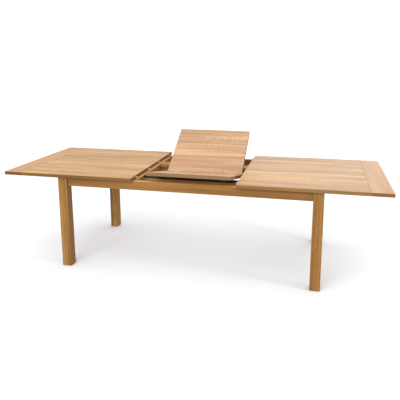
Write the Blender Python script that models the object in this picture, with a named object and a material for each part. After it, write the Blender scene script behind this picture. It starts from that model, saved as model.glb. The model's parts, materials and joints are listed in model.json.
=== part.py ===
"""Extendable dining table with a folding leaf, standing open with its leaf half raised.

Frame of reference: metres, +Z up, X along the table, -Y towards the front edge, origin on the
floor under the middle of the table.  Two half-tops run on the frame and are drawn fully apart.
Between them lies a leaf of two hinged halves: the front half rocks on two pivots that stand on
the pivot rail, and the rear half is hinged to it along the table's centre line.
"""
import math

import bmesh
import bpy
from mathutils import Vector

# ---- Overall sizes ----
TABLE_HEIGHT = 0.780
TABLE_WIDTH = 1.100
EXTENDED_LENGTH = 3.000
OPENING = 0.816  # between the two half-tops when drawn fully apart
FRAME_LENGTH = 2.072  # over the legs

# ---- Tops and leaf ----
TOP_THICKNESS = 0.027
BREADBOARD_WIDTH = 0.158
TOP_BOARDS = 9  # lengthwise boards glued into each half-top
LEAF_BOARDS = 3  # lengthwise boards glued into each leaf half
LEAF_GAP_LEFT = 0.1245  # half-top to leaf end, left and right, when fully open
LEAF_GAP_RIGHT = 0.0445
LEAF_JOINT_GAP = 0.0008
SEAM_HALF_WIDTH = 0.0013
SEAM_DEPTH = 0.0012
EDGE_EASE = 0.0015
TONGUE_THICKNESS = 0.009
TONGUE_LENGTH = 0.025
TONGUE_STOP = 0.060  # tongue end to the board's edge

# ---- Frame ----
LEG_SECTION = 0.077
LEG_OVERHANG = 0.020  # top's long edge to leg face
APRON_DEPTH = 0.070
APRON_THICKNESS = 0.040
LONG_APRON_SETBACK = 0.014  # leg face to apron face
END_APRON_SETBACK = 0.012
TENON_THICKNESS = 0.012
TENON_HEIGHT = 0.046
TENON_WALL = 0.008  # wood left between the two tenons that meet in one leg
CROSS_RAIL_THICKNESS = 0.040
CROSS_RAIL_SHOWING = 0.020  # part of the cross rail that stands inside the opening
BEARER_WIDTH = 0.100
BEARER_THICKNESS = 0.027
BEARER_FROM_CENTRE = 0.120
BEARER_RAIL_THICKNESS = 0.040
BEARER_RAIL_SETBACK = 0.020  # bearer's front edge to the face of the rail under it
PIVOT_RAIL_FRONT = 0.028  # pivot pin to the rail's front and back face
PIVOT_RAIL_BACK = 0.023
BUMPER_SETBACK = 0.012  # rail's front face to the bumper on top of it
BUMPER_DEPTH = 0.012
BUMPER_HEIGHT = 0.0205
CORNER_PLATE_THICKNESS = 0.012
CORNER_PLATE_REACH = 0.125
GLIDE_RADIUS = 0.016
GLIDE_HEIGHT = 0.003

# ---- Slides ----
SLIDE_CLEARANCE = 0.0015  # frame top to the underside of the tops
RUNNER_THICKNESS = 0.016
RUNNER_DEPTH = 0.052
RUNNER_GAP = 0.003  # runner to apron face
RUNNER_END_GAP = 0.004  # runner to leg, its stop when fully open
RUNNER_TONGUE_HEIGHT = 0.014
RUNNER_TONGUE_REACH = 0.0105
RUNNER_INNER_INSET = 0.022  # end of the half-top to end of the runner
SLIDE_FIT = 0.0008

# ---- Leaf pivots ----
PIVOT_FROM_HINGE = 0.285
PIVOT_DROP = 0.018  # leaf underside to pivot pin
PIVOT_RAIL_DROP = 0.008  # pin to the rail's top
PIVOT_FROM_LEAF_END = 0.100
PIN_RADIUS = 0.003
LUG_THICKNESS = 0.0044
LUG_RADIUS = 0.008
LUG_PLATE = (0.046, 0.056, 0.003)
CHEEK_THICKNESS = 0.003
CHEEK_GAP = 0.0008
BRACKET_BASE = (0.054, 0.030, 0.003)
BRACKET_BASE_DROP = 0.0202  # pin to the top of the bracket's base
BRACKET_FLANGE = (0.002, 0.0322)  # thickness, and height above the base
NOTCH_MARGIN = 0.003

# ---- Leaf hinges ----
HINGE_LENGTH = 0.050
HINGE_FROM_LEAF_END = 0.090
HINGE_PLATE_THICKNESS = 0.0014
HINGE_PLATE_DEPTH = 0.0186
KNUCKLE_RADIUS = 0.0026
KNUCKLE_BORE = 0.0015
KNUCKLE_GAP = 0.0004
HINGE_PIN_RADIUS = 0.0012
HINGE_SHOULDER = 0.0030  # hinge axis to the plate's top between its knuckles
HINGE_TAB_TOP = 0.0017

# ---- Dowels ----
DOWEL_RADIUS = 0.005
DOWEL_REACH = 0.015
DOWEL_SEAT = 0.020
DOWEL_OFFSETS = (0.140, 0.440)  # from the centre line
DOWEL_FIT = 0.0003
SOCKET_FIT = 0.0008

# ---- Rest pose ----
REST_TILT = math.radians(11.8)  # front half about its pivots, front edge up
REST_FOLD = math.radians(45.1)  # rear half about the leaf hinge, rear edge up

FIT = 0.0003  # gap between pieces that touch
WOOD_EASE = 0.0025
ROUND_SEGMENTS = 16

# ---- Worked-out places ----
TOP_UNDERSIDE = TABLE_HEIGHT - TOP_THICKNESS
FRAME_TOP = TOP_UNDERSIDE - SLIDE_CLEARANCE
APRON_BOTTOM = FRAME_TOP - APRON_DEPTH
TOP_MIDDLE = TABLE_HEIGHT - TOP_THICKNESS / 2
HALF_WIDTH = TABLE_WIDTH / 2
HALF_OPENING = OPENING / 2
HALF_LENGTH = EXTENDED_LENGTH / 2
LEG_OUTER_X = FRAME_LENGTH / 2
LEG_OUTER_Y = HALF_WIDTH - LEG_OVERHANG
LEG_INNER_X = LEG_OUTER_X - LEG_SECTION
LEG_INNER_Y = LEG_OUTER_Y - LEG_SECTION
LONG_APRON_OUTER = LEG_OUTER_Y - LONG_APRON_SETBACK
LONG_APRON_INNER = LONG_APRON_OUTER - APRON_THICKNESS
END_APRON_OUTER = LEG_OUTER_X - END_APRON_SETBACK
END_APRON_INNER = END_APRON_OUTER - APRON_THICKNESS
LONG_TENON_MIDDLE = (LONG_APRON_OUTER + LONG_APRON_INNER) / 2
END_TENON_MIDDLE = (END_APRON_OUTER + END_APRON_INNER) / 2
LONG_TENON_END = END_TENON_MIDDLE - TENON_THICKNESS / 2 - TENON_WALL
END_TENON_END = LONG_TENON_MIDDLE - TENON_THICKNESS / 2 - TENON_WALL
TENON_LEVEL = APRON_BOTTOM + APRON_DEPTH / 2
CROSS_RAIL_INNER = HALF_OPENING - CROSS_RAIL_SHOWING
CROSS_RAIL_OUTER = CROSS_RAIL_INNER + CROSS_RAIL_THICKNESS
RUNNER_OUTER = LONG_APRON_INNER - RUNNER_GAP
RUNNER_INNER = RUNNER_OUTER - RUNNER_THICKNESS
RUNNER_TOP = TOP_UNDERSIDE - FIT
RUNNER_BOTTOM = RUNNER_TOP - RUNNER_DEPTH
TONGUE_LEVEL = (RUNNER_TOP + RUNNER_BOTTOM) / 2 - 0.006
LEAF_LEFT = -HALF_OPENING + LEAF_GAP_LEFT
LEAF_RIGHT = HALF_OPENING - LEAF_GAP_RIGHT
PIVOT_Y = -PIVOT_FROM_HINGE
PIVOT_Z = TOP_UNDERSIDE - PIVOT_DROP
PIVOT_POINT = Vector((0.0, PIVOT_Y, PIVOT_Z))
HINGE_POINT = Vector((0.0, 0.0, TABLE_HEIGHT))
PIVOT_PLACES = (LEAF_LEFT + PIVOT_FROM_LEAF_END, LEAF_RIGHT - PIVOT_FROM_LEAF_END)
HINGE_PLACES = (LEAF_LEFT + HINGE_FROM_LEAF_END, LEAF_RIGHT - HINGE_FROM_LEAF_END)
SIDES = {-1: "left", 1: "right"}
FACES = {-1: "front", 1: "rear"}


# ---- Materials ----
def make_material(name, colour, roughness, metallic=0.0):
    material = bpy.data.materials.new(name)
    material.use_nodes = True
    shader = material.node_tree.nodes["Principled BSDF"]
    shader.inputs["Base Color"].default_value = (*colour, 1.0)
    shader.inputs["Roughness"].default_value = roughness
    shader.inputs["Metallic"].default_value = metallic
    return material


# ---- Shape helpers ----
def add_object(name, shape, material, smooth=False):
    """Store a bmesh as an object whose origin is the middle of its box."""
    bmesh.ops.recalc_face_normals(shape, faces=shape.faces)
    corners = [vertex.co for vertex in shape.verts]
    low = Vector(min(corner[axis] for corner in corners) for axis in range(3))
    high = Vector(max(corner[axis] for corner in corners) for axis in range(3))
    middle = (low + high) / 2
    bmesh.ops.translate(shape, verts=shape.verts, vec=-middle)
    mesh = bpy.data.meshes.new(name)
    shape.to_mesh(mesh)
    shape.free()
    mesh.materials.append(material)
    if smooth:
        mesh.shade_smooth()
        mesh.set_sharp_from_angle(angle=math.radians(35))
    piece = bpy.data.objects.new(name, mesh)
    bpy.context.collection.objects.link(piece)
    piece.location = middle
    return piece


def box(name, low, high, material=None, ease=0.0, segments=1):
    """A box between two corners, with eased edges where ease is more than nothing."""
    shape = bmesh.new()
    bmesh.ops.create_cube(shape, size=1.0)
    low, high = Vector(low), Vector(high)
    bmesh.ops.scale(shape, verts=shape.verts, vec=high - low)
    bmesh.ops.translate(shape, verts=shape.verts, vec=(low + high) / 2)
    if ease:
        bmesh.ops.bevel(shape, geom=shape.edges[:], offset=ease, segments=segments,
                        profile=0.5, affect="EDGES")
    return add_object(name, shape, material or WOOD)


def prism(name, outline, axis, start, end, material=None, smooth=False):
    """An outline in the plane across an axis, drawn out along that axis."""
    order = {"X": (2, 0, 1), "Y": (0, 2, 1), "Z": (0, 1, 2)}[axis]
    shape = bmesh.new()
    corners = []
    for point in outline:
        flat = (*point, start)
        corners.append(shape.verts.new([flat[index] for index in order]))
    base = shape.faces.new(corners)
    drawn = bmesh.ops.extrude_face_region(shape, geom=[base])["geom"]
    moved = [item for item in drawn if isinstance(item, bmesh.types.BMVert)]
    along = Vector([(0.0, 0.0, end - start)[index] for index in order])
    bmesh.ops.translate(shape, verts=moved, vec=along)
    return add_object(name, shape, material or WOOD, smooth)


def arc(centre, radius, first, last, steps):
    """Points on an arc between two angles in degrees, ends included."""
    points = []
    for step in range(steps + 1):
        angle = math.radians(first + (last - first) * step / steps)
        points.append((centre[0] + radius * math.cos(angle), centre[1] + radius * math.sin(angle)))
    return points


def rod(name, centre, radius, start, end, material=None):
    """A round rod along X, centred on (y, z)."""
    outline = arc(centre, radius, 0, 360, ROUND_SEGMENTS)[:-1]
    return prism(name, outline, "X", start, end, material, smooth=True)


def combine(target, tool, operation):
    """Add or cut a tool shape, and keep only the result."""
    modifier = target.modifiers.new("shape", "BOOLEAN")
    modifier.operation = operation
    modifier.solver = "EXACT"
    modifier.object = tool
    evaluated = target.evaluated_get(bpy.context.evaluated_depsgraph_get())
    mesh = bpy.data.meshes.new_from_object(evaluated)
    target.modifiers.clear()
    target.data = mesh
    bpy.data.objects.remove(tool)


def cut(target, tool):
    combine(target, tool, "DIFFERENCE")


def add(target, tool):
    combine(target, tool, "UNION")


def hang_on(axis_object, axis_point, pieces):
    """Parent pieces to an axis, keeping their places relative to it."""
    for piece in pieces:
        piece.parent = axis_object
        piece.location = piece.location - axis_point


def axis_empty(name, place):
    empty = bpy.data.objects.new(name, None)
    bpy.context.collection.objects.link(empty)
    empty.location = place
    return empty


# ---- Frame ----
def tenon_box(name, along, side, face, grow=0.0):
    """The tenon that joins an apron to the leg at one corner, or its mortise when grown."""
    half_thickness = TENON_THICKNESS / 2 + grow
    half_height = TENON_HEIGHT / 2 + grow
    root = 0.010
    if along == "X":
        middle = LONG_TENON_MIDDLE
        spans = [(LEG_INNER_X - root, LONG_TENON_END + grow),
                 (middle - half_thickness, middle + half_thickness)]
    else:
        middle = END_TENON_MIDDLE
        spans = [(middle - half_thickness, middle + half_thickness),
                 (LEG_INNER_Y - root, END_TENON_END + grow)]
    x_pair = sorted(side * value for value in spans[0])
    y_pair = sorted(face * value for value in spans[1])
    low = (x_pair[0], y_pair[0], TENON_LEVEL - half_height)
    high = (x_pair[1], y_pair[1], TENON_LEVEL + half_height)
    return box(name, low, high)


def build_legs():
    for side, side_name in SIDES.items():
        for face, face_name in FACES.items():
            x_pair = sorted((side * LEG_INNER_X, side * LEG_OUTER_X))
            y_pair = sorted((face * LEG_INNER_Y, face * LEG_OUTER_Y))
            place = f"{face_name}_{side_name}"
            leg = box(f"leg_{place}", (x_pair[0], y_pair[0], GLIDE_HEIGHT + FIT),
                      (x_pair[1], y_pair[1], FRAME_TOP), ease=WOOD_EASE, segments=2)
            cut(leg, tenon_box("mortise", "X", side, face, grow=FIT))
            cut(leg, tenon_box("mortise", "Y", side, face, grow=FIT))
            centre = (sum(x_pair) / 2, sum(y_pair) / 2)
            outline = arc(centre, GLIDE_RADIUS, 0, 360, 24)[:-1]
            prism(f"foot_glide_{place}", outline, "Z", 0.0, GLIDE_HEIGHT, NYLON, smooth=True)


def build_long_aprons():
    for face, face_name in FACES.items():
        y_pair = sorted((face * LONG_APRON_INNER, face * LONG_APRON_OUTER))
        reach = LEG_INNER_X - FIT
        apron = box(f"apron_{face_name}", (-reach, y_pair[0], APRON_BOTTOM),
                    (reach, y_pair[1], FRAME_TOP), ease=WOOD_EASE / 2)
        groove_depth = RUNNER_TONGUE_REACH - RUNNER_GAP + 2 * SLIDE_FIT
        groove = sorted((face * (LONG_APRON_INNER - RUNNER_GAP),
                         face * (LONG_APRON_INNER + groove_depth)))
        half_groove = RUNNER_TONGUE_HEIGHT / 2 + SLIDE_FIT
        cut(apron, box("groove", (-FRAME_LENGTH, groove[0], TONGUE_LEVEL - half_groove),
                       (FRAME_LENGTH, groove[1], TONGUE_LEVEL + half_groove)))
        for side in SIDES:
            add(apron, tenon_box("tenon", "X", side, face))


def build_end_aprons():
    for side, side_name in SIDES.items():
        x_pair = sorted((side * END_APRON_INNER, side * END_APRON_OUTER))
        reach = LEG_INNER_Y - FIT
        apron = box(f"apron_{side_name}", (x_pair[0], -reach, APRON_BOTTOM),
                    (x_pair[1], reach, FRAME_TOP), ease=WOOD_EASE / 2)
        for face in FACES:
            add(apron, tenon_box("tenon", "Y", side, face))


def build_cross_rails():
    """Rails across the frame at the ends of the opening, notched for the runners."""
    for side, side_name in SIDES.items():
        x_pair = sorted((side * CROSS_RAIL_INNER, side * CROSS_RAIL_OUTER))
        reach = LONG_APRON_INNER - FIT
        rail = box(f"cross_rail_{side_name}", (x_pair[0], -reach, APRON_BOTTOM),
                   (x_pair[1], reach, FRAME_TOP), ease=WOOD_EASE / 2)
        for face in FACES:
            notch = sorted((face * (RUNNER_INNER - RUNNER_GAP), face * HALF_WIDTH))
            cut(rail, box("notch", (x_pair[0] - 0.01, notch[0], RUNNER_BOTTOM - RUNNER_GAP),
                          (x_pair[1] + 0.01, notch[1], TABLE_HEIGHT)))


def build_leaf_bearer():
    """A flat board that the rear leaf half comes down on, and the rail that stiffens it."""
    reach = CROSS_RAIL_INNER - FIT
    underside = FRAME_TOP - BEARER_THICKNESS
    box("leaf_bearer_rear", (-reach, BEARER_FROM_CENTRE, underside),
        (reach, BEARER_FROM_CENTRE + BEARER_WIDTH, FRAME_TOP), ease=WOOD_EASE / 2)
    face = BEARER_FROM_CENTRE + BEARER_RAIL_SETBACK
    box("bearer_rail", (-reach, face, APRON_BOTTOM),
        (reach, face + BEARER_RAIL_THICKNESS, underside - FIT), ease=WOOD_EASE / 2)


def build_pivot_rail():
    """The rail with a pocket for each pivot bracket, and the rubber bumper between and beside them."""
    reach = CROSS_RAIL_INNER - FIT
    top = PIVOT_Z - PIVOT_RAIL_DROP
    front = PIVOT_Y - PIVOT_RAIL_FRONT
    rail = box("pivot_rail", (-reach, front, APRON_BOTTOM),
               (reach, PIVOT_Y + PIVOT_RAIL_BACK, top), ease=WOOD_EASE / 2)
    base_length, base_width, base_thickness = BRACKET_BASE
    pocket_half = base_length / 2 + NOTCH_MARGIN
    pocket_reach = base_width / 2 + NOTCH_MARGIN / 3
    floor = PIVOT_Z - BRACKET_BASE_DROP - base_thickness - FIT
    for place in PIVOT_PLACES:
        cut(rail, box("pocket", (place - pocket_half, PIVOT_Y - pocket_reach, floor),
                      (place + pocket_half, PIVOT_Y + pocket_reach, TABLE_HEIGHT)))

    ends = [-reach]
    for place in PIVOT_PLACES:
        ends += [place - base_length / 2 - FIT, place + base_length / 2 + FIT]
    ends.append(reach)
    for name, start, end in zip(("left", "middle", "right"), ends[::2], ends[1::2]):
        box(f"leaf_bumper_{name}", (start, front + BUMPER_SETBACK, top + FIT),
            (end, front + BUMPER_SETBACK + BUMPER_DEPTH, top + BUMPER_HEIGHT), RUBBER, ease=EDGE_EASE)


def build_pivot_brackets():
    """Steel brackets in the pivot rail's pockets: two cheeks and a front flange, with their pins."""
    for place, side_name in zip(PIVOT_PLACES, SIDES.values()):
        length, width, thickness = BRACKET_BASE
        base_top = PIVOT_Z - BRACKET_BASE_DROP
        bracket = box(f"pivot_bracket_{side_name}",
                      (place - length / 2, PIVOT_Y - width / 2, base_top - thickness),
                      (place + length / 2, PIVOT_Y + width / 2, base_top), STEEL)
        outline = [(PIVOT_Y - LUG_RADIUS, base_top - thickness / 2),
                   (PIVOT_Y + LUG_RADIUS, base_top - thickness / 2)]
        outline += arc((PIVOT_Y, PIVOT_Z), LUG_RADIUS, 0, 180, 10)
        inner = LUG_THICKNESS / 2 + CHEEK_GAP
        outer = inner + CHEEK_THICKNESS
        for hand in SIDES:
            ends = sorted((place + hand * inner, place + hand * outer))
            add(bracket, prism("cheek", outline, "X", ends[0], ends[1], STEEL))
        flange_thickness, flange_height = BRACKET_FLANGE
        front = PIVOT_Y - width / 2
        add(bracket, box("flange", (place - length / 2, front, base_top - thickness / 2),
                         (place + length / 2, front + flange_thickness, base_top + flange_height), STEEL))
        centre = (PIVOT_Y, PIVOT_Z)
        cut(bracket, rod("bore", centre, PIN_RADIUS + FIT, place - length, place + length))
        pin_reach = outer + CHEEK_THICKNESS / 2
        rod(f"pivot_pin_{side_name}", centre, PIN_RADIUS, place - pin_reach, place + pin_reach,
            STEEL)


def build_corner_plates():
    """Flat braces that tie each leg to its two aprons, under the runners."""
    far_x = END_APRON_INNER - CORNER_PLATE_REACH
    far_y = LONG_APRON_INNER - CORNER_PLATE_REACH
    bottom = APRON_BOTTOM + WOOD_EASE
    for side, side_name in SIDES.items():
        for face, face_name in FACES.items():
            corner = [(far_x, LONG_APRON_INNER - FIT), (LEG_INNER_X - FIT, LONG_APRON_INNER - FIT),
                      (LEG_INNER_X - FIT, LEG_INNER_Y - FIT), (END_APRON_INNER - FIT, LEG_INNER_Y - FIT),
                      (END_APRON_INNER - FIT, far_y)]
            outline = [(side * x, face * y) for x, y in corner]
            prism(f"corner_plate_{face_name}_{side_name}", outline, "Z", bottom,
                  bottom + CORNER_PLATE_THICKNESS)


# ---- Half-tops ----
def boards_outline(low, high, boards):
    """Cross-section of boards glued edge to edge, with a small V along each seam."""
    pitch = (high - low) / boards
    bottom, top = TOP_UNDERSIDE, TABLE_HEIGHT
    points = [(low, bottom + EDGE_EASE), (low + EDGE_EASE, bottom),
              (high - EDGE_EASE, bottom), (high, bottom + EDGE_EASE),
              (high, top - EDGE_EASE), (high - EDGE_EASE, top)]
    for board in range(boards - 1, 0, -1):
        seam = low + board * pitch
        points += [(seam + SEAM_HALF_WIDTH, top), (seam, top - SEAM_DEPTH),
                   (seam - SEAM_HALF_WIDTH, top)]
    points += [(low + EDGE_EASE, top), (low, top - EDGE_EASE)]
    return points


def dowel_hole(end, face, offset, depth, fit):
    """Cutter for a hole drilled along X into a board's end."""
    start, stop = sorted((end + depth, end - math.copysign(0.01, depth)))
    return rod("hole", (face * offset, TOP_MIDDLE), DOWEL_RADIUS + fit, start, stop)


def dowel(name, end, into, face, offset):
    """A peg seated in a board's end; into is +1 or -1, the way into the board."""
    start, stop = sorted((end + into * DOWEL_SEAT, end - into * DOWEL_REACH))
    return rod(name, (face * offset, TOP_MIDDLE), DOWEL_RADIUS, start, stop, DOWEL_WOOD)


def build_half_tops():
    joint = HALF_LENGTH - BREADBOARD_WIDTH
    for side, side_name in SIDES.items():
        ends = sorted((side * HALF_OPENING, side * (joint - FIT)))
        panel = prism(f"top_{side_name}_panel", boards_outline(-HALF_WIDTH, HALF_WIDTH, TOP_BOARDS),
                      "X", ends[0], ends[1], TOP_WOOD)
        tongue_y = HALF_WIDTH - TONGUE_STOP
        tongue_z = TONGUE_THICKNESS / 2
        tongue = sorted((side * (joint - TONGUE_LENGTH), side * (joint + TONGUE_LENGTH)))
        add(panel, box("tongue", (tongue[0], -tongue_y, TOP_MIDDLE - tongue_z),
                       (tongue[1], tongue_y, TOP_MIDDLE + tongue_z)))
        board = sorted((side * joint, side * HALF_LENGTH))
        breadboard = box(f"top_{side_name}_breadboard", (board[0], -HALF_WIDTH, TOP_UNDERSIDE),
                         (board[1], HALF_WIDTH, TABLE_HEIGHT), TOP_WOOD, EDGE_EASE, 2)
        slot = sorted((side * (joint - TONGUE_LENGTH), side * (joint + TONGUE_LENGTH + FIT)))
        slot_z = tongue_z + FIT
        cut(breadboard, box("slot", (slot[0], -tongue_y - FIT, TOP_MIDDLE - slot_z),
                            (slot[1], tongue_y + FIT, TOP_MIDDLE + slot_z)))
        peg_half_top(panel, side, side_name)
        build_runners(side, side_name)


def peg_half_top(panel, side, side_name):
    """Pegs in a half-top's inner end, which enter the sockets in the leaf's ends."""
    end = side * HALF_OPENING
    for face, face_name in FACES.items():
        for number, offset in enumerate(DOWEL_OFFSETS, 1):
            cut(panel, dowel_hole(end, face, offset, side * (DOWEL_SEAT + FIT), DOWEL_FIT))
            dowel(f"top_{side_name}_dowel_{face_name}_{number}", end, side, face, offset)


def build_runners(side, side_name):
    """Wooden runners under a half-top; their tongues ride in the aprons' grooves."""
    half_tongue = RUNNER_TONGUE_HEIGHT / 2
    tip = RUNNER_OUTER + RUNNER_TONGUE_REACH
    section = [(RUNNER_INNER, RUNNER_BOTTOM), (RUNNER_OUTER, RUNNER_BOTTOM),
               (RUNNER_OUTER, TONGUE_LEVEL - half_tongue), (tip, TONGUE_LEVEL - half_tongue),
               (tip, TONGUE_LEVEL + half_tongue), (RUNNER_OUTER, TONGUE_LEVEL + half_tongue),
               (RUNNER_OUTER, RUNNER_TOP), (RUNNER_INNER, RUNNER_TOP)]
    ends = sorted((side * (HALF_OPENING + RUNNER_INNER_INSET + CROSS_RAIL_THICKNESS),
                   side * (LEG_INNER_X - RUNNER_END_GAP)))
    for face, face_name in FACES.items():
        outline = [(face * y, z) for y, z in section]
        prism(f"top_{side_name}_runner_{face_name}", outline, "X", ends[0], ends[1])


# ---- Leaf ----
def hinge_recess(panel, face, place):
    """Pocket in a leaf half's edge for one hinge plate and its knuckles."""
    half = HINGE_LENGTH / 2 + FIT
    back = LEAF_JOINT_GAP / 2 + HINGE_PLATE_THICKNESS + 2 * FIT
    pocket = sorted((face * back, -face * LEAF_JOINT_GAP))
    low = TABLE_HEIGHT - HINGE_SHOULDER - HINGE_PLATE_DEPTH - FIT
    cut(panel, box("pocket", (place - half, pocket[0], low),
                   (place + half, pocket[1], TABLE_HEIGHT - KNUCKLE_RADIUS / 2)))
    cut(panel, rod("scoop", (0.0, TABLE_HEIGHT), KNUCKLE_RADIUS + 2 * FIT,
                   place - half, place + half))


def leaf_half(face, face_name):
    edges = sorted((face * LEAF_JOINT_GAP / 2, face * HALF_WIDTH))
    panel = prism(f"leaf_{face_name}_panel", boards_outline(edges[0], edges[1], LEAF_BOARDS),
                  "X", LEAF_LEFT, LEAF_RIGHT, TOP_WOOD)
    for place in HINGE_PLACES:
        hinge_recess(panel, face, place)
    socket = DOWEL_REACH + 2 * SOCKET_FIT
    for offset in DOWEL_OFFSETS:
        cut(panel, dowel_hole(LEAF_LEFT, face, offset, socket, SOCKET_FIT))
        cut(panel, dowel_hole(LEAF_RIGHT, face, offset, -socket, SOCKET_FIT))
    return [panel]


def hinge_plate(name, face, place, owned):
    """A flat plate let into a leaf half's edge, with the knuckles in the owned thirds."""
    third = HINGE_LENGTH / 3
    start = place - HINGE_LENGTH / 2
    shoulder = TABLE_HEIGHT - HINGE_SHOULDER
    tab_top = TABLE_HEIGHT - HINGE_TAB_TOP
    bottom = shoulder - HINGE_PLATE_DEPTH
    spans = [(start + index * third + KNUCKLE_GAP / 2, start + (index + 1) * third - KNUCKLE_GAP / 2)
             for index in owned]
    outline = [(start, shoulder), (start, bottom), (start + HINGE_LENGTH, bottom),
               (start + HINGE_LENGTH, shoulder)]
    for left, right in reversed(spans):
        outline += [(right, shoulder), (right, tab_top), (left, tab_top), (left, shoulder)]
    near = LEAF_JOINT_GAP / 2 + FIT / 3
    sides = sorted((face * near, face * (near + HINGE_PLATE_THICKNESS)))
    plate = prism(name, outline, "Y", sides[0], sides[1], BRASS)
    centre = (0.0, TABLE_HEIGHT)
    for left, right in spans:
        add(plate, rod("barrel", centre, KNUCKLE_RADIUS, left, right, BRASS))
    cut(plate, rod("bore", centre, KNUCKLE_BORE, start - third, start + HINGE_LENGTH + third))
    return plate


def pivot_lug(name, place):
    """Steel plate under the front leaf half, with an eye that turns on the pivot pin."""
    length, width, thickness = LUG_PLATE
    top = TOP_UNDERSIDE - FIT
    lug = box(name, (place - length / 2, PIVOT_Y - width / 2, top - thickness),
              (place + length / 2, PIVOT_Y + width / 2, top), STEEL)
    outline = [(PIVOT_Y + LUG_RADIUS, top - thickness / 2), (PIVOT_Y - LUG_RADIUS, top - thickness / 2)]
    outline += arc((PIVOT_Y, PIVOT_Z), LUG_RADIUS, 180, 360, 10)
    half = LUG_THICKNESS / 2
    add(lug, prism("eye", outline, "X", place - half, place + half, STEEL))
    cut(lug, rod("bore", (PIVOT_Y, PIVOT_Z), PIN_RADIUS + FIT, place - length, place + length))
    return lug


def build_leaf():
    """Both halves are made lying flat, then turned about their axes to the rest pose."""
    front = leaf_half(-1, "front")
    rear = leaf_half(1, "rear")
    for place, side_name in zip(HINGE_PLACES, SIDES.values()):
        front.append(hinge_plate(f"hinge_front_plate_{side_name}", -1, place, (0, 2)))
        rear.append(hinge_plate(f"hinge_rear_plate_{side_name}", 1, place, (1,)))
        half = HINGE_LENGTH / 2
        front.append(rod(f"hinge_pin_{side_name}", (0.0, TABLE_HEIGHT), HINGE_PIN_RADIUS,
                         place - half, place + half, BRASS))
    for place, side_name in zip(PIVOT_PLACES, SIDES.values()):
        front.append(pivot_lug(f"pivot_lug_{side_name}", place))
    pivot_axis = axis_empty("leaf_pivot_axis", PIVOT_POINT)
    hinge_axis = axis_empty("leaf_hinge_axis", HINGE_POINT)
    hang_on(hinge_axis, HINGE_POINT, rear)
    hang_on(pivot_axis, PIVOT_POINT, front + [hinge_axis])
    pivot_axis.rotation_euler.x = -REST_TILT
    hinge_axis.rotation_euler.x = REST_FOLD


for leftover in list(bpy.data.objects):
    bpy.data.objects.remove(leftover)

WOOD = make_material("frame_wood", (0.30, 0.135, 0.045), 0.45)
TOP_WOOD = make_material("top_wood", (0.52, 0.29, 0.135), 0.42)
DOWEL_WOOD = make_material("dowel_wood", (0.66, 0.50, 0.33), 0.60)
STEEL = make_material("bracket_steel", (0.10, 0.10, 0.105), 0.42, 1.0)
RUBBER = make_material("bumper_rubber", (0.02, 0.02, 0.02), 0.80)
BRASS = make_material("hinge_brass", (0.62, 0.46, 0.20), 0.30, 1.0)
NYLON = make_material("glide_nylon", (0.10, 0.09, 0.08), 0.60)

build_legs()
build_long_aprons()
build_end_aprons()
build_cross_rails()
build_leaf_bearer()
build_pivot_rail()
build_pivot_brackets()
build_corner_plates()
build_half_tops()
build_leaf()
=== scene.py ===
"""Looks of the extendable dining table: its woods, metals, fastenings, floor, light and camera.

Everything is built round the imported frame, in metres, +Z up, X along the table and -Y its front.
The two leaf halves stand tilted at rest, so their grain, boards and screws are laid out on the
flat table and carried to the rest pose by the leaf's own joints.
"""

import json
import math

import bmesh
import bpy
from mathutils import Matrix, Vector

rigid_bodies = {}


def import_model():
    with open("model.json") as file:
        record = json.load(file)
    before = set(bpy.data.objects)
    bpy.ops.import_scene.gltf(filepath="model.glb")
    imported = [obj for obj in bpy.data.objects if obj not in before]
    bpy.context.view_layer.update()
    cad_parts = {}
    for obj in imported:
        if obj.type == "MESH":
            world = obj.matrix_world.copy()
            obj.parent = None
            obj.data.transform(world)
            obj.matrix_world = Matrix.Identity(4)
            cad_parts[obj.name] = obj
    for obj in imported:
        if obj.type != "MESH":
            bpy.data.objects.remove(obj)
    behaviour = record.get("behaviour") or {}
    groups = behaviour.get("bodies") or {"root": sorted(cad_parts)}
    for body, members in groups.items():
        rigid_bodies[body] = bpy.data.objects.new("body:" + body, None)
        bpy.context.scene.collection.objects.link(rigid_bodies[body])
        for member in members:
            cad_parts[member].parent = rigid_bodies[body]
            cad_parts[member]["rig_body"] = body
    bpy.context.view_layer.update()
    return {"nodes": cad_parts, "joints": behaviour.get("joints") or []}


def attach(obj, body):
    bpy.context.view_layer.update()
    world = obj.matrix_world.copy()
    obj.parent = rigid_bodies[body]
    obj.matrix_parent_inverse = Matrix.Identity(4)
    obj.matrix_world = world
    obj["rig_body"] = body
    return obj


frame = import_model()
NODES = frame["nodes"]
JOINTS = {joint["name"]: joint for joint in frame["joints"]}
IDENTITY = Matrix.Identity(4)

# ---- Camera ----
CAMERA_PLACE = (0.9682, -3.9733, 1.6982)
CAMERA_AZIMUTH = math.radians(-13.596)
CAMERA_ELEVATION = math.radians(-11.668)
CAMERA_ROLL = math.radians(-0.156)
LENS = 44.26
SENSOR = 36.0
SHIFT_UP = -0.1066


# ---- The leaf's rest pose, from its joints ----
def turn(axis, point, angle):
    """A turn by an angle about an axis through a point."""
    there = Matrix.Translation(Vector(point))
    return there @ Matrix.Rotation(angle, 4, Vector(axis)) @ there.inverted()


def leaf_places():
    """For each leaf body, the move that takes it from the flat table to its rest pose."""
    pivot, hinge = JOINTS["leaf_pivot"], JOINTS["leaf_hinge"]
    tilt = turn(pivot["axis"], pivot["pos_m"], -math.radians(pivot["range_deg"][0]))
    flat_hinge = tilt.inverted() @ Vector(hinge["pos_m"])
    fold = turn(hinge["axis"], flat_hinge, -math.radians(hinge["range_deg"][0]))
    return {"leaf_front": tilt, "leaf_rear": tilt @ fold}


LEAF_PLACES = leaf_places()


def place_of(body):
    return LEAF_PLACES.get(body, IDENTITY)


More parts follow.
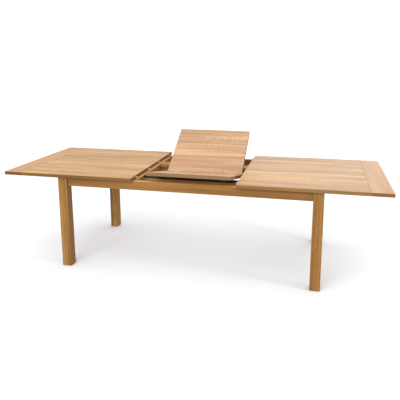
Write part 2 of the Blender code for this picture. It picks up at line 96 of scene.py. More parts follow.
def flat_box(name):
    """A node's lowest and highest corner with its body laid flat."""
    node = NODES[name]
    back = place_of(node["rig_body"]).inverted()
    points = [back @ vertex.co for vertex in node.data.vertices]
    low = Vector(min(point[i] for point in points) for i in range(3))
    high = Vector(max(point[i] for point in points) for i in range(3))
    return low, high


# ---- Node-tree helper ----
class Tree:
    """Builds shader nodes by short calls. A number, tuple or output socket can feed any input."""

    def __init__(self, nodes, links):
        self.nodes = nodes
        self.links = links

    def feed(self, socket, value):
        if isinstance(value, bpy.types.NodeSocket):
            self.links.new(value, socket)
        elif isinstance(value, (tuple, list, Vector)) and socket.type == "RGBA":
            socket.default_value = (*value, 1.0)[:4]
        else:
            socket.default_value = value

    def math(self, kind, *values, clamp=False):
        node = self.nodes.new("ShaderNodeMath")
        node.operation = kind
        node.use_clamp = clamp
        for socket, value in zip(node.inputs, values):
            self.feed(socket, value)
        return node.outputs[0]

    def centred(self, value):
        return self.math("SUBTRACT", value, 0.5)

    def total(self, base, parts, clamp=False):
        """The base plus each part's value times its factor."""
        for number, (value, factor) in enumerate(parts, 1):
            held = clamp and number == len(parts)
            base = self.math("ADD", base, self.math("MULTIPLY", value, factor), clamp=held)
        return base

    def length(self, vector):
        node = self.nodes.new("ShaderNodeVectorMath")
        node.operation = "LENGTH"
        self.feed(node.inputs[0], vector)
        return node.outputs["Value"]

    def split(self, vector):
        node = self.nodes.new("ShaderNodeSeparateXYZ")
        self.feed(node.inputs[0], vector)
        return node.outputs

    def join(self, x, y, z):
        node = self.nodes.new("ShaderNodeCombineXYZ")
        for socket, value in zip(node.inputs, (x, y, z)):
            self.feed(socket, value)
        return node.outputs[0]

    def noise(self, vector, scale=1.0, detail=2.0, rough=0.5):
        node = self.nodes.new("ShaderNodeTexNoise")
        self.feed(node.inputs["Vector"], vector)
        self.feed(node.inputs["Scale"], scale)
        self.feed(node.inputs["Detail"], detail)
        self.feed(node.inputs["Roughness"], rough)
        return node.outputs["Fac"]

    def random(self, vector):
        node = self.nodes.new("ShaderNodeTexWhiteNoise")
        self.feed(node.inputs["Vector"], vector)
        return node.outputs["Color"]

    def ramp(self, value, low, high, start=0.0, end=1.0):
        """A smooth step from start to end as value goes from low to high."""
        node = self.nodes.new("ShaderNodeMapRange")
        node.interpolation_type = "SMOOTHSTEP"
        for socket, number in zip(node.inputs, (value, low, high, start, end)):
            self.feed(socket, number)
        return node.outputs[0]

    def mix(self, share, first, second, kind="MIX"):
        node = self.nodes.new("ShaderNodeMix")
        node.data_type = "RGBA"
        node.blend_type = kind
        self.feed(node.inputs["Factor"], share)
        self.feed(node.inputs[6], first)
        self.feed(node.inputs[7], second)
        return node.outputs[2]

    def bump(self, height, distance, strength=1.0):
        node = self.nodes.new("ShaderNodeBump")
        self.feed(node.inputs["Height"], height)
        self.feed(node.inputs["Distance"], distance)
        self.feed(node.inputs["Strength"], strength)
        return node.outputs["Normal"]


# ---- Wood ----
WOOD_INPUTS = (
    ("Place", "NodeSocketVector"), ("Facing", "NodeSocketVector"),
    ("Low", "NodeSocketVector"), ("High", "NodeSocketVector"),
    ("Board start", "NodeSocketFloat"), ("Board width", "NodeSocketFloat"),
    ("Seam", "NodeSocketFloat"), ("Seam reach", "NodeSocketFloat"), ("Seed", "NodeSocketFloat"),
    ("Light", "NodeSocketColor"), ("Dark", "NodeSocketColor"), ("Red", "NodeSocketColor"),
    ("Painted side shading", "NodeSocketColor"), ("Painted face shading", "NodeSocketColor"),
)
# the log, in metres: where along it a board was cut, how far its pith lies to the side and
# wanders there, how far it lies below the face and wanders there, and its rings
LOG_STRETCH = 61.0
PITH_SPREAD, PITH_SWAY = 0.16, 0.10
PITH_DEPTH, PITH_RISE = 0.09, 0.13
FACE_LEVEL = 0.02
RING_SPACING = 0.0042
RAGGEDNESS = 1.3  # in rings
LATE_FALL = 0.93  # share of a ring after which its late wood ends

# noise scales per metre, along the grain and across it
SWAY_SCALE, RISE_SCALE = 1.1, 1.7
BAND_SCALE = (0.9, 15.0)
STREAK_SCALE = (1.5, 38.0)
RAGGED_SCALE = (6.0, 45.0)
FIBRE_SCALE = (9.0, 420.0)
PORE_SCALE = (75.0, 1500.0)
BLOTCH_SCALE = 23.0
SPECK_SCALE = 1400.0

# noise values between which a pore or a speck opens, and the ends of the step to end grain
PORE_RANGE = (0.60, 0.72)
SPECK_RANGE = (0.58, 0.70)
FACING_RANGE = (0.55, 0.8)

# how far marks reach from a glue line or an edge, in metres. The painted highlight beside a glue line
# ends at a multiple of its seam
SEAM_START = 0.0003
SEAM_REACH = 0.0018
GROOVE_REACH = 0.0034
LEAF_REACH = 0.0046
CHAMFER_HIGHLIGHT_SPREAD = 2.4
EDGE_REACH = 0.0035
EDGE_UNEVENNESS = 0.010
EDGE_LEVEL = 0.62

# tone: how much each mark moves a spot between the dark and the light tone
TONE_START = -0.70
STREAK_TONE, BAND_TONE, FIBRE_TONE, LATE_TONE, BOARD_TONE = 2.5, 1.8, 0.55, -0.42, 0.50
RED_SHARE, PORE_SHARE, SPECK_SHARE, END_SHARE = 0.55, 0.30, 0.45, 0.97
# the lip share is a painted highlight beside each glue line, where an eased board edge catches the light;
# the wear share lightens edges partly as wear and partly as a painted highlight
CHAMFER_HIGHLIGHT_SHARE, WEAR_AND_HIGHLIGHT_SHARE, SEAM_SHARE = 0.45, 0.18, 0.80
PORE_COLOUR = (0.10, 0.045, 0.018)
END_COLOUR = (0.085, 0.036, 0.012)
SPECK_COLOUR = (0.03, 0.012, 0.005)
SEAM_COLOUR = (0.06, 0.026, 0.010)
WOOD_ROUGHNESS = 0.40
WOOD_RELIEF = 0.00035


def late_wood(tree, run, in_board, through, ragged, chance_b, chance_c):
    """The dark late wood of rings round a pith that wanders below the board's face."""
    sway_at = tree.join(tree.math("MULTIPLY", run, SWAY_SCALE),
                        tree.math("MULTIPLY", chance_b, 9.0), 0.0)
    sway = tree.centred(tree.noise(sway_at, 1.0, 1.0))
    rise_at = tree.join(tree.math("MULTIPLY", run, RISE_SCALE), 3.0, chance_c)
    rise = tree.centred(tree.noise(rise_at, 1.0, 2.0))
    pith_y = tree.total(0.0, ((tree.centred(chance_b), PITH_SPREAD), (sway, PITH_SWAY)))
    pith_z = tree.total(0.0, ((chance_c, -PITH_DEPTH), (rise, PITH_RISE)))
    below = tree.math("SUBTRACT", tree.math("SUBTRACT", through, FACE_LEVEL), pith_z)
    from_pith = tree.join(0.0, tree.math("SUBTRACT", in_board, pith_y), below)
    turns = tree.total(tree.math("DIVIDE", tree.length(from_pith), RING_SPACING),
                       ((ragged, RAGGEDNESS),))
    ring = tree.math("FRACT", turns)
    return tree.math("MULTIPLY", tree.math("POWER", ring, 3.0), tree.ramp(ring, LATE_FALL, 1.0, 1.0, 0.0))


def edge_distance(tree, given, place):
    """Distance to the nearest edge of the piece: the middle one of its distances to the three faces."""
    low, high = tree.split(given["Low"]), tree.split(given["High"])
    gaps = [tree.math("MINIMUM", tree.math("SUBTRACT", place[i], low[i]),
                      tree.math("SUBTRACT", high[i], place[i])) for i in range(3)]
    nearer = tree.math("MINIMUM", gaps[0], gaps[1])
    further = tree.math("MAXIMUM", gaps[0], gaps[1])
    return tree.math("MAXIMUM", nearer, tree.math("MINIMUM", further, gaps[2]))


def wood_group():
    """Sawn boards in the grain's own directions: X along the grain, Y across, Z through."""
    group = bpy.data.node_groups.new("wood", "ShaderNodeTree")
    for name, kind in WOOD_INPUTS:
        group.interface.new_socket(name, in_out="INPUT", socket_type=kind)
    for name, kind in (("Color", "NodeSocketColor"), ("Roughness", "NodeSocketFloat"),
                       ("Normal", "NodeSocketVector")):
        group.interface.new_socket(name, in_out="OUTPUT", socket_type=kind)
    tree = Tree(group.nodes, group.links)
    given = group.nodes.new("NodeGroupInput").outputs
    result = group.nodes.new("NodeGroupOutput").inputs
    place = tree.split(given["Place"])
    along, across, through = place
    facing = tree.split(given["Facing"])

    def times(value, factor):
        return tree.math("MULTIPLY", value, factor)

    # which board, and its three chances
    steps = tree.math("DIVIDE", tree.math("SUBTRACT", across, given["Board start"]),
                      given["Board width"])
    index = tree.math("FLOOR", steps)
    share = tree.math("SUBTRACT", steps, index)
    chances = tree.split(tree.random(tree.join(index, given["Seed"], 0.37)))
    chance_a, chance_b, chance_c = chances
    run = tree.total(along, ((chance_a, LOG_STRETCH),))
    in_board = times(tree.centred(share), given["Board width"])

    def stretched(scale):
        return tree.join(times(run, scale[0]), times(across, scale[1]), times(through, scale[1]))

    # rings, streaks, fibres and open pores
    ragged = tree.noise(stretched(RAGGED_SCALE), 1.0, 3.0)
    late = late_wood(tree, run, in_board, through, ragged, chance_b, chance_c)
    band = tree.noise(stretched(BAND_SCALE), 1.0, 2.0, 0.55)
    streak = tree.noise(stretched(STREAK_SCALE), 1.0, 3.0, 0.6)
    fibre = tree.noise(stretched(FIBRE_SCALE), 1.0, 3.0, 0.6)
    pore = tree.ramp(tree.noise(stretched(PORE_SCALE), 1.0, 1.0), *PORE_RANGE)
    blotch = tree.noise(given["Place"], BLOTCH_SCALE, 3.0, 0.6)
    speck = tree.ramp(tree.noise(given["Place"], SPECK_SCALE, 1.0), *SPECK_RANGE)

    # end grain shows where a face looks along the grain
    end = tree.ramp(tree.math("ABSOLUTE", facing[0]), *FACING_RANGE)
    flank = tree.math("SUBTRACT", 1.0, end)

    # edges pale partly from wear and partly as a painted highlight, and glue lines with a painted
    # highlight on either side
    uneven_edge_gap = tree.total(edge_distance(tree, given, place),
                           ((tree.math("SUBTRACT", blotch, EDGE_LEVEL), EDGE_UNEVENNESS),))
    wear_and_highlight = tree.ramp(uneven_edge_gap, 0.0, EDGE_REACH, 1.0, 0.0)
    to_seam = times(tree.math("MINIMUM", share, tree.math("SUBTRACT", 1.0, share)),
                    given["Board width"])
    reach = given["Seam reach"]
    seam = times(tree.ramp(to_seam, SEAM_START, reach, 1.0, 0.0), given["Seam"])
    chamfer_highlight = times(tree.ramp(to_seam, reach, times(reach, CHAMFER_HIGHLIGHT_SPREAD), 1.0, 0.0), given["Seam"])

    # colour
    tone = tree.total(TONE_START, (
        (streak, STREAK_TONE), (tree.centred(band), BAND_TONE), (tree.centred(fibre), FIBRE_TONE),
        (late, LATE_TONE), (tree.centred(chance_a), BOARD_TONE)), clamp=True)
    colour = tree.mix(tone, given["Dark"], given["Light"])
    colour = tree.mix(times(tree.math("POWER", chance_c, 2.0), RED_SHARE), colour, given["Red"])
    colour = tree.mix(times(times(pore, flank), PORE_SHARE), colour, PORE_COLOUR)
    end_colour = tree.mix(tree.total(0.60, ((late, 0.4),)), given["Dark"], END_COLOUR)
    end_colour = tree.mix(times(speck, SPECK_SHARE), end_colour, SPECK_COLOUR)
    colour = tree.mix(times(end, END_SHARE), colour, end_colour)
    # painted highlight beside each glue line
    colour = tree.mix(times(chamfer_highlight, CHAMFER_HIGHLIGHT_SHARE), colour, given["Light"])
    # edges pale partly from wear and partly as a painted highlight
    colour = tree.mix(times(wear_and_highlight, WEAR_AND_HIGHLIGHT_SHARE), colour, given["Light"])
    # painted light and shade: the face tint on the faces crossed by the through direction, the side tint
    # on the rest
    flat = tree.ramp(tree.math("ABSOLUTE", facing[2]), *FACING_RANGE)
    painted_shading = tree.mix(flat, given["Painted side shading"], given["Painted face shading"])
    colour = tree.mix(1.0, colour, painted_shading, kind="MULTIPLY")
    colour = tree.mix(times(seam, SEAM_SHARE), colour, SEAM_COLOUR)
    tree.feed(result["Color"], colour)

    rough = tree.total(WOOD_ROUGHNESS, (
        (fibre, 0.14), (late, -0.05), (end, 0.20), (blotch, 0.10), (seam, 0.25)), clamp=True)
    tree.feed(result["Roughness"], rough)

    height = tree.total(0.0, (
        (fibre, 0.35), (late, 0.25), (pore, -0.55), (seam, -1.0), (times(speck, end), -0.6)))
    tree.feed(result["Normal"], tree.bump(height, WOOD_RELIEF, 0.8))
    return group


WOOD = wood_group()
ONE_BOARD = 0.5  # a board width that no single board reaches
GRAIN_ORDER = {"X": (0, 1, 2), "Y": (1, 0, 2), "Z": (2, 0, 1)}

# the tops' and the leaf's tones are paler than the frame's, partly as the boards' own tone and partly as
# painted light for their brightly lit upper faces
TOP_TONES = ((0.640, 0.371, 0.142), (0.310, 0.156, 0.044), (0.520, 0.265, 0.098))
LEAF_TONES = ((0.675, 0.434, 0.245), (0.355, 0.193, 0.092), (0.570, 0.332, 0.190))
END_BOARD_TONES = ((0.570, 0.318, 0.132), (0.400, 0.200, 0.070), (0.510, 0.262, 0.108))
# the right breadboard's tones: the end boards' tones darkened as painted shade against the brighter light
# on the right, and a little redder
RIGHT_END_PAINTED_SHADE_TONES = ((0.520, 0.280, 0.112), (0.350, 0.165, 0.056), (0.460, 0.225, 0.090))
FRAME_TONES = ((0.430, 0.222, 0.062), (0.235, 0.110, 0.024), (0.345, 0.150, 0.042))
LEG_TONES = ((0.465, 0.242, 0.072), (0.245, 0.116, 0.028), (0.370, 0.165, 0.047))
DOWEL_TONES = ((0.760, 0.600, 0.400), (0.560, 0.400, 0.230), (0.680, 0.480, 0.290))

# painted light and shade, as tints: the left top's sides painted darker and yellower, the right top's
# and the leaf's sides painted paler, the rails' upper and lower faces painted with a highlight,
# the front right leg painted darker and the rear left leg paler on their front and rear faces
NO_TINT = (1.0, 1.0, 1.0)
LEFT_SIDE_PAINTED_SHADE = (0.96, 0.80, 0.42)
RIGHT_SIDE_PAINTED_LIGHT = (1.36, 1.25, 0.96)
LEAF_SIDE_PAINTED_LIGHT = (1.30, 1.14, 0.82)
# painted shade on the front right leg's front and rear faces, painted light on the rear left leg's
LEG_PAINTED_LIGHT_AND_SHADE = {"leg_front_right": (0.89, 0.84, 0.76), "leg_rear_left": (1.25, 1.32, 1.50)}
# painted highlight on the upper and lower faces of the aprons and cross rails
RAIL_PAINTED_HIGHLIGHT = (1.75, 1.85, 2.00)


def new_material(name):
    material = bpy.data.materials.new(name)
    material.use_nodes = True
    tree = Tree(material.node_tree.nodes, material.node_tree.links)
    return material, tree, material.node_tree.nodes["Principled BSDF"]


def flat_coordinates(tree, body):
    """Place and facing on a body laid flat, for a point of a piece at rest."""
    coordinates = tree.nodes.new("ShaderNodeTexCoord").outputs
    back = place_of(body).inverted()
    if back == IDENTITY:
        return coordinates["Object"], coordinates["Normal"]
    found = []
    for source, kind in (("Object", "POINT"), ("Normal", "VECTOR")):
        mapping = tree.nodes.new("ShaderNodeMapping")
        mapping.vector_type = kind
        tree.feed(mapping.inputs["Vector"], coordinates[source])
        mapping.inputs["Rotation"].default_value = back.to_euler()
        if kind == "POINT":
            mapping.inputs["Location"].default_value = back.translation
        found.append(mapping.outputs[0])
    return found


def wood(name, grain, tones, seed, boards=1, seam=0.0, reach=SEAM_REACH, gloss=0.5, joint=None,
         side=NO_TINT, face=NO_TINT):
    """A wood for one node, with its boards side by side across the grain.

    A single board has its seam on one side only, where its joint is.
    """
    node = NODES[name]
    order = GRAIN_ORDER[grain]
    low, high = flat_box(name)
    low, high = [Vector(corner[i] for i in order) for corner in (low, high)]
    material, tree, shader = new_material("wood_" + name)
    place, facing = flat_coordinates(tree, node["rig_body"])
    place, facing = [tree.join(*[tree.split(vector)[i] for i in order]) for vector in (place, facing)]
    group = tree.nodes.new("ShaderNodeGroup")
    group.node_tree = WOOD
    start, width = low[1], (high[1] - low[1]) / boards
    if joint is not None:
        width = ONE_BOARD
        start = joint if joint <= low[1] else joint - width
    values = {
        "Place": place, "Facing": facing, "Low": low, "High": high,
        "Board start": start, "Board width": width,
        "Seam": seam, "Seam reach": reach, "Seed": float(seed),
        # the side and face tints are painted light and shade
        "Light": tones[0], "Dark": tones[1], "Red": tones[2], "Painted side shading": side, "Painted face shading": face,
    }
    for key, value in values.items():
        tree.feed(group.inputs[key], value)
    tree.feed(shader.inputs["Base Color"], group.outputs["Color"])
    tree.feed(shader.inputs["Roughness"], group.outputs["Roughness"])
    tree.feed(shader.inputs["Normal"], group.outputs["Normal"])
    shader.inputs["Specular IOR Level"].default_value = gloss
    return material


# ---- Metals, nylon and rubber ----
STROKE_STRETCH = 0.06
PATCH_SCALE, GRAIN_SCALE, SCUFF_SCALE = 130.0, 2600.0, 190.0
METAL_RELIEF, MOULDED_RELIEF = 0.00008, 0.00006


def metal(name, colour, dull, roughness, stroke_scale):
    """Brushed or plated metal with fine strokes and dull patches."""
    material, tree, shader = new_material(name)
    place = tree.nodes.new("ShaderNodeTexCoord").outputs["Object"]
    x, y, z = tree.split(place)
    stroke = tree.noise(tree.join(tree.math("MULTIPLY", x, stroke_scale * STROKE_STRETCH),
                                  tree.math("MULTIPLY", y, stroke_scale),
                                  tree.math("MULTIPLY", z, stroke_scale)), 1.0, 3.0)
    patch = tree.noise(place, PATCH_SCALE, 4.0, 0.65)
    share = tree.ramp(patch, 0.42, 0.68)
    tree.feed(shader.inputs["Base Color"], tree.mix(share, colour, dull))
    uneven = tree.total(0.0, ((share, 0.18), (stroke, 0.14)))
    tree.feed(shader.inputs["Roughness"], tree.math("ADD", roughness, uneven))
    shader.inputs["Metallic"].default_value = 1.0
    height = tree.total(0.0, ((stroke, 0.6), (patch, 0.5)))
    tree.feed(shader.inputs["Normal"], tree.bump(height, METAL_RELIEF))
    return material


def moulded(name, colour, scuffed, roughness):
    """Matt nylon or rubber with a fine grain, lightly scuffed."""
    material, tree, shader = new_material(name)
    place = tree.nodes.new("ShaderNodeTexCoord").outputs["Object"]
    grain = tree.noise(place, GRAIN_SCALE, 2.0)
    scuff = tree.ramp(tree.noise(place, SCUFF_SCALE, 4.0, 0.7), 0.5, 0.7)
    tree.feed(shader.inputs["Base Color"], tree.mix(scuff, colour, scuffed))
    tree.feed(shader.inputs["Roughness"], tree.total(roughness, ((scuff, 0.2),)))
    tree.feed(shader.inputs["Normal"], tree.bump(grain, MOULDED_RELIEF))
    return material


# the pivot brackets, lugs and pins are blackened steel, a real finish, made this dark also as painted
# shadow for the gap under the leaf's front edge
SHADOW_BLACK_STEEL = metal("blackened_steel_painted_shadow", (0.100, 0.100, 0.104), (0.055, 0.054, 0.052), 0.38, 5200.0)
STEEL = metal("zinc_plated_steel", (0.56, 0.56, 0.55), (0.38, 0.38, 0.37), 0.30, 5200.0)
BRASS = metal("satin_brass", (0.70, 0.49, 0.22), (0.42, 0.27, 0.11), 0.27, 6400.0)
NYLON = moulded("moulded_nylon", (0.035, 0.030, 0.027), (0.075, 0.068, 0.060), 0.48)
# the bumper strip is black rubber placed where the gap under the leaf's front edge lies in shade: its
# black is painted shadow as well as rubber
SHADOW_BLACK_RUBBER = moulded("bumper_rubber", (0.016, 0.013, 0.011), (0.034, 0.030, 0.026), 0.72)
FRAME_GLOSS = 0.25


def finish_nodes():
    """Every CAD node gets its own material, with its grain the way the piece was sawn."""
    for seed, name in enumerate(sorted(NODES)):
        node = NODES[name]
        if "dowel" in name:
            material = wood(name, "X", DOWEL_TONES, seed)
        elif "hinge" in name:
            material = BRASS
        # blackened steel, also painted shadow for the gap under the leaf
        elif "bracket" in name or "lug" in name or "pin" in name:
            material = SHADOW_BLACK_STEEL
        elif "glide" in name:
            material = NYLON
        # black rubber, also painted shadow for the gap under the leaf
        elif "bumper" in name:
            material = SHADOW_BLACK_RUBBER
        # legs: two of them with painted light and shade on their front and rear faces
        elif name.startswith("leg"):
            material = wood(name, "Z", LEG_TONES, seed, boards=3, seam=0.25, gloss=FRAME_GLOSS,
                            face=LEG_PAINTED_LIGHT_AND_SHADE.get(name, NO_TINT))
        # breadboards: painted shade on the left one's sides, painted light on the right one's sides, and
        # painted shade in the right one's darker tones
        elif "breadboard" in name:
            low, high = flat_box(name)
            tones = RIGHT_END_PAINTED_SHADE_TONES if low.x > 0 else END_BOARD_TONES
            joint = low.x if low.x > 0 else high.x
            side = RIGHT_SIDE_PAINTED_LIGHT if low.x > 0 else LEFT_SIDE_PAINTED_SHADE
            material = wood(name, "Y", tones, seed, seam=0.85, reach=GROOVE_REACH, joint=joint, side=side)
        # top panels: painted shade on the left one's sides, painted light on the right one's sides
        elif name.startswith("top") and "panel" in name:
            side = RIGHT_SIDE_PAINTED_LIGHT if "right" in name else LEFT_SIDE_PAINTED_SHADE
            material = wood(name, "X", TOP_TONES, seed, boards=9, seam=0.8, side=side)
        # leaf panels: painted light on their sides
        elif name.startswith("leaf") and "panel" in name:
            material = wood(name, "X", LEAF_TONES, seed, boards=3, seam=0.9, reach=LEAF_REACH,
                            side=LEAF_SIDE_PAINTED_LIGHT)
        # aprons and cross rails: painted highlight on their upper and lower faces
        elif name.startswith(("apron_left", "apron_right", "cross_rail")):
            material = wood(name, "Y", FRAME_TONES, seed, gloss=FRAME_GLOSS, face=RAIL_PAINTED_HIGHLIGHT)
        elif name.startswith("apron"):
            material = wood(name, "X", FRAME_TONES, seed, gloss=FRAME_GLOSS, face=RAIL_PAINTED_HIGHLIGHT)
        else:
            material = wood(name, "X", FRAME_TONES, seed, gloss=FRAME_GLOSS)
        node.data.materials.clear()
        node.data.materials.append(material)


finish_nodes()


# ---- Screws ----
ARC_TURNS = tuple(math.radians(quarter + step) for quarter in (0, 90, 180, 270)
                  for step in (12, 27, 45, 63, 78))
PAN_PROFILE = ((1.00, -0.25), (1.00, 0.30), (0.94, 0.66), (0.80, 0.92), (0.62, 1.00))
FLAT_PROFILE = ((1.00, -0.25), (1.00, 0.80), (0.97, 1.00), (0.80, 1.00), (0.62, 1.00))
CROSS_ARM, CROSS_HALF, CROSS_DEPTH, CROSS_TAPER = 0.46, 0.10, 0.60, 0.75
SCREW_TURN = 37
SHARP_ANGLE = math.radians(35)


def screw_head(shape, seat, radius, rise, profile):
    """A closed head with a cross recess. In its own frame the head rises along +Z from the surface."""
    def put(x, y, z):
        return shape.verts.new(seat @ Vector((x, y, z)))

    rings = [[put(reach * radius * math.cos(a), reach * radius * math.sin(a), height * rise)
              for a in ARC_TURNS] for reach, height in profile]
    count = len(ARC_TURNS)
    for lower, upper in zip(rings, rings[1:]):
        for i in range(count):
            j = (i + 1) % count
            shape.faces.new((lower[i], lower[j], upper[j], upper[i]))
    shape.faces.new(list(reversed(rings[0])))

    arm, half, depth = CROSS_ARM * radius, CROSS_HALF * radius, CROSS_DEPTH * rise
    outline, floor = [], []
    for quarter in range(4):
        turned = Matrix.Rotation(math.radians(90 * quarter), 3, "Z")
        for corner in ((arm, half), (half, half), (half, arm)):
            x, y, _ = turned @ Vector((*corner, 0.0))
            outline.append(put(x, y, rise))
            floor.append(put(CROSS_TAPER * x, CROSS_TAPER * y, rise - depth))
    per_quarter = count // 4
    top = rings[-1]
    for quarter in range(4):
        rim = [top[quarter * per_quarter + i] for i in range(per_quarter)]
        inner, middle, outer = outline[quarter * 3:quarter * 3 + 3]
        shape.faces.new(rim + [outer, middle, inner])
        following = outline[(quarter * 3 + 3) % 12]
        shape.faces.new((rim[-1], top[(quarter + 1) * per_quarter % count], following, outer))
    for i in range(12):
        j = (i + 1) % 12
        shape.faces.new((outline[i], outline[j], floor[j], floor[i]))
    shape.faces.new(floor)


def screws(name, body, places, head, material, profile=PAN_PROFILE):
    """One piece with a body's alike screws. A place is a point on the flat table and the way out.

    A head is its radius and its rise.
    """
    radius, rise = head
    shape = bmesh.new()
    for number, (point, outward) in enumerate(places):
        face = Vector(outward).to_track_quat("Z", "Y").to_matrix().to_4x4()
        twist = Matrix.Rotation(math.radians(SCREW_TURN * number), 4, "Z")
        screw_head(shape, Matrix.Translation(Vector(point)) @ face @ twist, radius, rise, profile)
    mesh = bpy.data.meshes.new(name)
    shape.to_mesh(mesh)
    shape.free()
    mesh.transform(place_of(body))
    mesh.shade_smooth()
    mesh.set_sharp_from_angle(angle=SHARP_ANGLE)
    mesh.materials.append(material)
    piece = bpy.data.objects.new(name, mesh)
    bpy.context.scene.collection.objects.link(piece)
    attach(piece, body)


UP, DOWN = (0.0, 0.0, 1.0), (0.0, 0.0, -1.0)
SIGNS = (-1, 1)
HINGE_HEAD = (0.0024, 0.00022)
LUG_HEAD = (0.0032, 0.0012)
BASE_HEAD = (0.0034, 0.0014)
RUNNER_HEAD = (0.0040, 0.0014)
WOOD_HEAD = (0.0040, 0.0015)
HINGE_SCREW_STEP = 0.0165
HINGE_SCREW_DROP = 0.0130
HINGE_SCREW_STAGGER = 0.0018
LUG_SCREW_STEP = (0.0160, 0.0205)
LUG_PLATE_THICKNESS = 0.003
BASE_SCREW_STEP = 0.0205
BASE_PLATE_THICKNESS = 0.003
RAIL_SCREW_INSET = 0.013
RUNNER_SCREWS = 4
RUNNER_SCREW_INSET = 0.050
RUNNER_SCREW_LINE = 0.008
CORNER_SCREW_INSET = 0.009
CORNER_SCREW_SHARES = (0.36, 0.66)
CORNER_SCREW_SLANT = 0.35


def hinge_screws():
    """Three small flat screws in each hinge plate, on the halves' meeting edges."""
    for half, facing in (("front", 1.0), ("rear", -1.0)):
        places = []
        edge_low, edge_high = flat_box("leaf_" + half + "_panel")
        edge = edge_high.y if half == "front" else edge_low.y
        for side_name in ("left", "right"):
            low, high = flat_box(f"hinge_{half}_plate_{side_name}")
            middle = (low.x + high.x) / 2
            for step in (-1, 0, 1):
                drop = HINGE_SCREW_DROP + (HINGE_SCREW_STAGGER if step == 0 else 0.0)
                places.append(((middle + step * HINGE_SCREW_STEP, edge, edge_high.z - drop),
                               (0.0, facing, 0.0)))
        screws(f"hinge_screws_{half}", "leaf_" + half, places, HINGE_HEAD, BRASS,
               FLAT_PROFILE)


def pivot_screws():
    """Screws up through the lug plates, and down through the bracket bases."""
    lug_places, base_places = [], []
    for side_name in ("left", "right"):
        low, high = flat_box("pivot_lug_" + side_name)
        middle = (low + high) / 2
        for x_sign in SIGNS:
            for y_sign in SIGNS:
                lug_places.append(((middle.x + x_sign * LUG_SCREW_STEP[0],
                                    middle.y + y_sign * LUG_SCREW_STEP[1],
                                    high.z - LUG_PLATE_THICKNESS), DOWN))
        low, high = flat_box("pivot_bracket_" + side_name)
        middle = (low + high) / 2
        for x_sign in SIGNS:
            base_places.append(((middle.x + x_sign * BASE_SCREW_STEP, middle.y,
                                 low.z + BASE_PLATE_THICKNESS), UP))
    screws("pivot_lug_screws", "leaf_front", lug_places, LUG_HEAD, STEEL)
    screws("pivot_bracket_screws", "frame", base_places, BASE_HEAD, STEEL)


def rail_end_screws():
    """Pairs of screws through the cross rails into the ends of the rails between them."""
    for side_name, outward in (("left", -1.0), ("right", 1.0)):
        low, high = flat_box("cross_rail_" + side_name)
        face = low.x if outward < 0 else high.x
        places = []
        for rail in ("pivot_rail", "bearer_rail"):
            low, high = flat_box(rail)
            for z in (low.z + RAIL_SCREW_INSET, high.z - RAIL_SCREW_INSET):
                places.append(((face, (low.y + high.y) / 2, z), (outward, 0.0, 0.0)))
        low, high = flat_box("leaf_bearer_rear")
        for y in (low.y + 2 * RAIL_SCREW_INSET, high.y - 2 * RAIL_SCREW_INSET):
            places.append(((face, y, (low.z + high.z) / 2), (outward, 0.0, 0.0)))
        screws(f"cross_rail_screws_{side_name}", "frame", places, WOOD_HEAD, STEEL)


def runner_screws():
    """Screws up through each runner into its half-top."""
    for side_name in ("left", "right"):
        places = []
        for row in ("front", "rear"):
            low, high = flat_box(f"top_{side_name}_runner_{row}")
            inner = low.y if abs(low.y) < abs(high.y) else high.y
            y = inner + math.copysign(RUNNER_SCREW_LINE, inner)
            first, last = low.x + RUNNER_SCREW_INSET, high.x - RUNNER_SCREW_INSET
            for i in range(RUNNER_SCREWS):
                x = first + (last - first) * i / (RUNNER_SCREWS - 1)
                places.append(((x, y, low.z), DOWN))
        screws(f"runner_screws_{side_name}", "top_" + side_name, places, RUNNER_HEAD, STEEL)


def corner_screws():
    """Slanted screws under each corner plate, two into either apron."""
    for row, y_sign in (("front", -1.0), ("rear", 1.0)):
        for side_name, x_sign in (("left", -1.0), ("right", 1.0)):
            low, high = flat_box(f"corner_plate_{row}_{side_name}")
            size = high.x - low.x
            corner_x = low.x if x_sign < 0 else high.x
            corner_y = low.y if y_sign < 0 else high.y
            places = []
            for share in CORNER_SCREW_SHARES:
                away = share * size
                for x_in, y_in in ((away, CORNER_SCREW_INSET), (CORNER_SCREW_INSET, away)):
                    slant_x = -CORNER_SCREW_SLANT * x_sign if x_in < y_in else 0.0
                    slant_y = -CORNER_SCREW_SLANT * y_sign if y_in < x_in else 0.0
                    point = (corner_x - x_sign * x_in, corner_y - y_sign * y_in, low.z)
                    places.append((point, (slant_x, slant_y, -1.0)))
            screws(f"corner_screws_{row}_{side_name}", "frame", places, WOOD_HEAD, STEEL)


hinge_screws()
pivot_screws()
rail_end_screws()
runner_screws()
corner_screws()


# ---- Floor, light and camera ----
FLOOR_REACH, FLOOR_DROP = 40.0, 0.0005
FLOOR_SEEN = (0.910, 0.927, 0.947)
FLOOR_BOUNCE = (0.30, 0.30, 0.30)
WORLD_STRENGTH = 1.10
# name, place, target, size and power of each softbox
SOFTBOXES = (
    ("front_softbox", (-1.2, -6.2, 4.2), (0.0, 0.0, 0.6), (4.0, 3.0), 205.0),
    ("right_softbox", (5.5, -1.6, 1.0), (0.4, 0.0, 0.1), (0.7, 0.7), 86.0),
    ("back_softbox", (2.8, 7.0, 2.7), (0.9, 0.0, 0.78), (8.0, 4.0), 175.0),
)


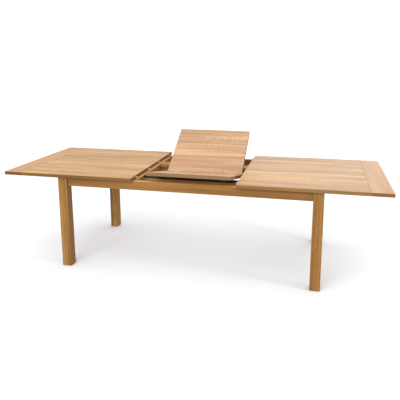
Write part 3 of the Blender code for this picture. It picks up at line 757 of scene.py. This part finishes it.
def make_floor():
    """A plain pale floor, wide enough to run out of sight. It throws back less light than it shows."""
    shape = bmesh.new()
    bmesh.ops.create_grid(shape, x_segments=1, y_segments=1, size=FLOOR_REACH)
    mesh = bpy.data.meshes.new("floor")
    shape.to_mesh(mesh)
    shape.free()
    floor = bpy.data.objects.new("floor", mesh)
    bpy.context.scene.collection.objects.link(floor)
    floor.location.z = -FLOOR_DROP
    material, tree, shader = new_material("pale_floor")
    seen = tree.nodes.new("ShaderNodeLightPath").outputs["Is Camera Ray"]
    tree.feed(shader.inputs["Base Color"], tree.mix(seen, FLOOR_BOUNCE, FLOOR_SEEN))
    shader.inputs["Roughness"].default_value = 0.9
    shader.inputs["Specular IOR Level"].default_value = 0.1
    mesh.materials.append(material)


def make_light(name, place, target, size, power):
    data = bpy.data.lights.new(name, "AREA")
    data.shape = "RECTANGLE"
    data.size, data.size_y = size
    data.energy = power
    light = bpy.data.objects.new(name, data)
    bpy.context.scene.collection.objects.link(light)
    light.location = place
    aim = Vector(target) - Vector(place)
    light.rotation_euler = aim.to_track_quat("-Z", "Y").to_euler()
    light.visible_camera = False


def make_world():
    world = bpy.data.worlds.new("studio")
    bpy.context.scene.world = world
    world.use_nodes = True
    background = world.node_tree.nodes["Background"]
    background.inputs["Color"].default_value = (1.0, 1.0, 1.0, 1.0)
    background.inputs["Strength"].default_value = WORLD_STRENGTH


def make_camera():
    data = bpy.data.cameras.new("camera")
    data.lens = LENS
    data.sensor_width = SENSOR
    data.shift_y = SHIFT_UP
    data.clip_start, data.clip_end = 0.05, 200.0
    camera = bpy.data.objects.new("camera", data)
    bpy.context.scene.collection.objects.link(camera)
    flat = math.cos(CAMERA_ELEVATION)
    forward = Vector((math.sin(CAMERA_AZIMUTH) * flat, math.cos(CAMERA_AZIMUTH) * flat,
                      math.sin(CAMERA_ELEVATION)))
    look = forward.to_track_quat("-Z", "Y").to_matrix().to_4x4()
    camera.matrix_world = (Matrix.Translation(CAMERA_PLACE) @ look
                           @ Matrix.Rotation(CAMERA_ROLL, 4, "Z"))
    bpy.context.scene.camera = camera


make_floor()
make_world()
for softbox in SOFTBOXES:
    make_light(*softbox)
make_camera()
bpy.context.scene.view_settings.view_transform = "Standard"
